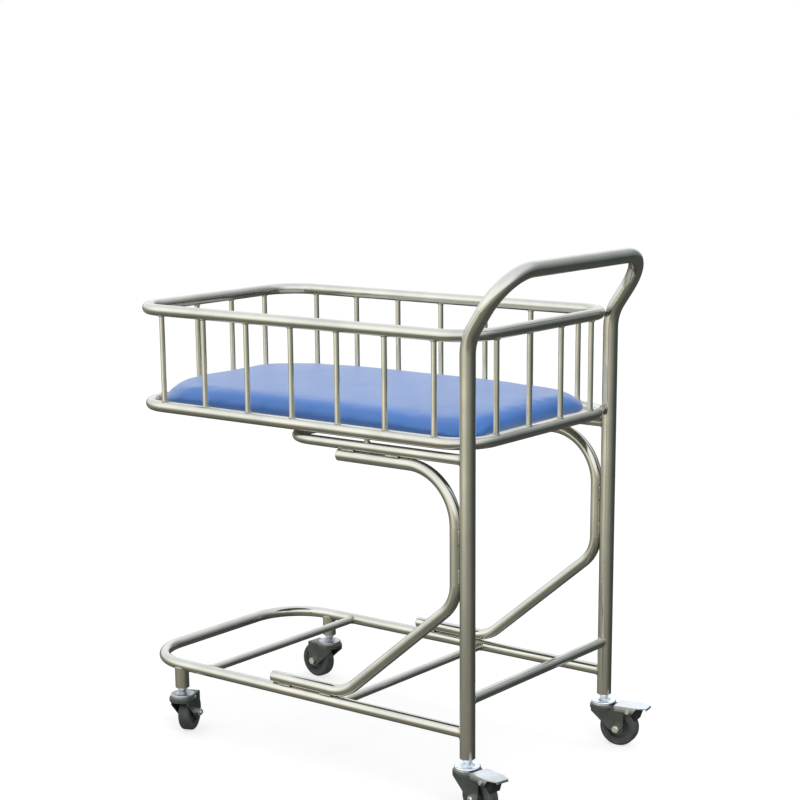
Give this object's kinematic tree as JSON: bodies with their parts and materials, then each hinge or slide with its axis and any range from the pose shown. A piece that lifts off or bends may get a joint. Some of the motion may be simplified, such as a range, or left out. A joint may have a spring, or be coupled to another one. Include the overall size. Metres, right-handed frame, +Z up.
{
  "type": "hospital bassinet",
  "caption": "Wheeled infant bassinet: a barred tube basket with a mattress pad, held by bent side brackets and rear posts that end in a push handle, on swivel casters.",
  "frame": {"origin": "floor level under the middle of the overall outline", "axes": "+X from the free foot end toward the push handle, +Y across the trolley, +Z up"},
  "size_m": [0.9128, 0.5292, 0.974],
  "materials": {
    "stainless_tube": "polished stainless tube",
    "stainless_sheet": "satin stainless sheet",
    "stainless_cap": "turned stainless",
    "mattress_cover": "blue coated cloth over foam",
    "zinc_plate": "bright zinc plate",
    "pedal_zinc": "bright pressed steel",
    "zinc_bolt": "zinc plated",
    "bearing_steel": "ground steel balls",
    "fork_steel": "dull grey plated steel",
    "hub_plastic": "dark grey moulded plastic",
    "bush_brass": "plain bearing sleeve",
    "tyre_rubber": "dark grey smooth tread",
    "shoe_rubber": "black rubber"
  },
  "bodies": {
    "frame": {"post_handle_tube": "stainless_tube", "lower_cross_tube": "stainless_tube", "base_rail": "stainless_tube", "front_crossbar": "stainless_tube", "rear_crossbar": "stainless_tube", "near_stub": "stainless_tube", "far_stub": "stainless_tube", "socket_plugs": "stainless_cap", "near_bracket": "stainless_tube", "far_bracket": "stainless_tube", "bracket_caps": "stainless_cap", "support_rail": "stainless_tube", "ring_spacers": "stainless_tube", "upper_ring": "stainless_tube", "lower_ring": "stainless_tube", "near_bars": "stainless_tube", "far_bars": "stainless_tube", "head_bars": "stainless_tube", "foot_bars": "stainless_tube", "deck": "stainless_sheet", "rear_near_stem": "zinc_plate", "rear_near_race_plate": "zinc_plate", "rear_near_bearing_balls": "bearing_steel", "rear_far_stem": "zinc_plate", "rear_far_race_plate": "zinc_plate", "rear_far_bearing_balls": "bearing_steel", "front_near_stem": "zinc_plate", "front_near_race_plate": "zinc_plate", "front_near_bearing_balls": "bearing_steel", "front_far_stem": "zinc_plate", "front_far_race_plate": "zinc_plate", "front_far_bearing_balls": "bearing_steel"},
    "mattress": {"mattress": "mattress_cover"},
    "rear_near_swivel": {"rear_near_fork": "fork_steel", "rear_near_axle_bolt": "zinc_bolt", "rear_near_brake_pin": "zinc_bolt"},
    "rear_near_wheel": {"rear_near_hub": "hub_plastic", "rear_near_bush": "bush_brass", "rear_near_tyre": "tyre_rubber"},
    "rear_near_pedal": {"rear_near_brake_pedal": "pedal_zinc", "rear_near_brake_shoe": "shoe_rubber"},
    "rear_far_swivel": {"rear_far_fork": "fork_steel", "rear_far_axle_bolt": "zinc_bolt", "rear_far_brake_pin": "zinc_bolt"},
    "rear_far_wheel": {"rear_far_hub": "hub_plastic", "rear_far_bush": "bush_brass", "rear_far_tyre": "tyre_rubber"},
    "rear_far_pedal": {"rear_far_brake_pedal": "pedal_zinc", "rear_far_brake_shoe": "shoe_rubber"},
    "front_near_swivel": {"front_near_fork": "fork_steel", "front_near_axle_bolt": "zinc_bolt"},
    "front_near_wheel": {"front_near_hub": "hub_plastic", "front_near_bush": "bush_brass", "front_near_tyre": "tyre_rubber"},
    "front_far_swivel": {"front_far_fork": "fork_steel", "front_far_axle_bolt": "zinc_bolt"},
    "front_far_wheel": {"front_far_hub": "hub_plastic", "front_far_bush": "bush_brass", "front_far_tyre": "tyre_rubber"}
  },
  "joints": [
    {"name": "mattress_lift", "type": "slide", "parent": "frame", "child": "mattress", "axis": [0, 0, 1], "range_m": [0, 0.2]},
    {"name": "rear_near_swivel_turn", "type": "hinge", "parent": "frame", "child": "rear_near_swivel", "pos_m": [0.356, -0.23, 0.087], "axis": [0, 0, 1], "continuous": true},
    {"name": "rear_near_wheel_roll", "type": "hinge", "parent": "rear_near_swivel", "child": "rear_near_wheel", "pos_m": [0.38913, -0.23765, 0.0375], "axis": [0.225, 0.9744, 0], "continuous": true},
    {"name": "rear_near_brake_press", "type": "hinge", "parent": "rear_near_swivel", "child": "rear_near_pedal", "pos_m": [0.41056, -0.2426, 0.074], "axis": [0.225, 0.9744, 0], "range_deg": [0, 12]},
    {"name": "rear_far_swivel_turn", "type": "hinge", "parent": "frame", "child": "rear_far_swivel", "pos_m": [0.356, 0.23, 0.087], "axis": [0, 0, 1], "continuous": true},
    {"name": "rear_far_wheel_roll", "type": "hinge", "parent": "rear_far_swivel", "child": "rear_far_wheel", "pos_m": [0.38948, 0.2359, 0.0375], "axis": [-0.1736, 0.9848, 0], "continuous": true},
    {"name": "rear_far_brake_press", "type": "hinge", "parent": "rear_far_swivel", "child": "rear_far_pedal", "pos_m": [0.41115, 0.23972, 0.074], "axis": [-0.1736, 0.9848, 0], "range_deg": [0, 12]},
    {"name": "front_near_swivel_turn", "type": "hinge", "parent": "frame", "child": "front_near_swivel", "pos_m": [-0.342, -0.23, 0.087], "axis": [0, 0, 1], "continuous": true},
    {"name": "front_near_wheel_roll", "type": "hinge", "parent": "front_near_swivel", "child": "front_near_wheel", "pos_m": [-0.35528, -0.1987, 0.0375], "axis": [-0.9205, -0.3907, 0], "continuous": true},
    {"name": "front_far_swivel_turn", "type": "hinge", "parent": "frame", "child": "front_far_swivel", "pos_m": [-0.342, 0.23, 0.087], "axis": [0, 0, 1], "continuous": true},
    {"name": "front_far_wheel_roll", "type": "hinge", "parent": "front_far_swivel", "child": "front_far_wheel", "pos_m": [-0.37592, 0.23237, 0.0375], "axis": [-0.0698, -0.9976, 0], "continuous": true}
  ]
}
